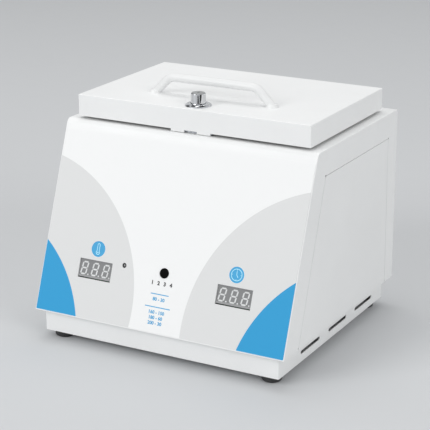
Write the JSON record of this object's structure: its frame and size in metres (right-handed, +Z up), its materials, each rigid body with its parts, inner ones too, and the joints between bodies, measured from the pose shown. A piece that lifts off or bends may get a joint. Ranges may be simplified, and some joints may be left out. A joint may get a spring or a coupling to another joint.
{
  "type": "dry heat sterilizer",
  "caption": "Bench dry heat sterilizer with a leaning control front, a hinged lid with a push lock over a steel chamber, digital displays and a program button.",
  "frame": {"origin": "on the table, under the middle of the cabinet's bounding box", "axes": "+X to the right seen from the front, +Y to the rear, +Z up"},
  "size_m": [0.28, 0.265, 0.2613],
  "materials": {
    "cabinet_paint": "satin",
    "base_paint": "satin",
    "lid_paint": "satin",
    "side_paint": "satin",
    "overlay_film": "matt print",
    "handle_paint": "powder coated",
    "chrome": "polished",
    "zinc_steel": "zinc plated",
    "stainless": "brushed",
    "heater_steel": "dull",
    "brass": "bright",
    "silicone": "matt",
    "foot_rubber": "matt",
    "wool": "fibrous",
    "board_green": "semi gloss",
    "display_grey": "satin",
    "segment_grey": "diffuse",
    "lamp_clear": "frosted",
    "black_plastic": "satin",
    "relay_blue": "satin",
    "terminal_green": "satin",
    "iron_core": "laminated",
    "phenolic": "matt"
  },
  "bodies": {
    "cabinet": {"outer_shell": "cabinet_paint", "side_panel_left": "side_paint", "side_panel_right": "side_paint", "front_overlay": "overlay_film", "base_tray": "base_paint", "rubber_foot_front_left": "foot_rubber", "rubber_foot_front_right": "foot_rubber", "rubber_foot_rear_left": "foot_rubber", "rubber_foot_rear_right": "foot_rubber", "foot_screws": "zinc_steel", "base_posts": "brass", "chamber_tank": "stainless", "chamber_gasket": "silicone", "insulation_jacket": "zinc_steel", "chamber_insulation": "wool", "tubular_heater": "heater_steel", "heater_clamps": "zinc_steel", "thermal_cutout": "phenolic", "temperature_probe": "stainless", "instrument_tray": "stainless", "temperature_display": "display_grey", "timer_display": "display_grey", "temperature_segments": "segment_grey", "timer_segments": "segment_grey", "status_lamp": "lamp_clear", "control_board": "board_green", "control_board_standoffs": "brass", "button_switch": "black_plastic", "power_board_standoffs": "brass", "power_board": "board_green", "transformer": "iron_core", "relay": "relay_blue", "terminal_block": "terminal_green", "mains_inlet": "black_plastic", "inlet_contacts": "brass", "fuse_drawer": "black_plastic", "switch_frame": "black_plastic", "switch_contacts": "brass", "latch_keeper": "zinc_steel", "keeper_screws": "zinc_steel", "hinge_fixed_leaf_left": "stainless", "hinge_fixed_leaf_right": "stainless", "hinge_fixed_screws": "zinc_steel"},
    "lid": {"lid_cover": "lid_paint", "lid_liner": "stainless", "lid_insulation": "wool", "handle": "handle_paint", "handle_screws": "zinc_steel", "lock_rosette": "chrome", "lock_case": "zinc_steel", "hinge_lid_leaf_left": "stainless", "hinge_lid_leaf_right": "stainless", "hinge_pin_left": "zinc_steel", "hinge_pin_right": "zinc_steel", "hinge_lid_screws": "zinc_steel"},
    "lock_knob": {"lock_knob": "chrome", "lock_cross_pin": "zinc_steel"},
    "lock_bolt": {"lock_bolt": "zinc_steel"},
    "program_button": {"program_button": "black_plastic"},
    "power_rocker": {"power_rocker": "black_plastic"}
  },
  "joints": [
    {"name": "lid_hinge", "type": "hinge", "parent": "cabinet", "child": "lid", "pos_m": [0, 0.1146, 0.2178], "axis": [-1, 0, 0], "range_deg": [0, 100]},
    {"name": "lock_knob_slide", "type": "slide", "parent": "lid", "child": "lock_knob", "axis": [0, 0, 1], "range_m": [-0.009, 0]},
    {"name": "lock_bolt_slide", "type": "slide", "parent": "lid", "child": "lock_bolt", "axis": [0, -1, 0], "range_m": [0, 0.0045]},
    {"name": "program_button_slide", "type": "slide", "parent": "cabinet", "child": "program_button", "axis": [0, 0.938, -0.3466], "range_m": [0, 0.0006], "stiffness_N_per_m": 400, "springref_m": -0.0003},
    {"name": "power_rocker_tilt", "type": "hinge", "parent": "cabinet", "child": "power_rocker", "pos_m": [-0.048, 0.1275, 0.0645], "axis": [1, 0, 0], "range_deg": [0, 18]}
  ],
  "couplings": [
    {"joint": "lock_bolt_slide", "follows": "lock_knob_slide", "ratio": -0.5}
  ]
}
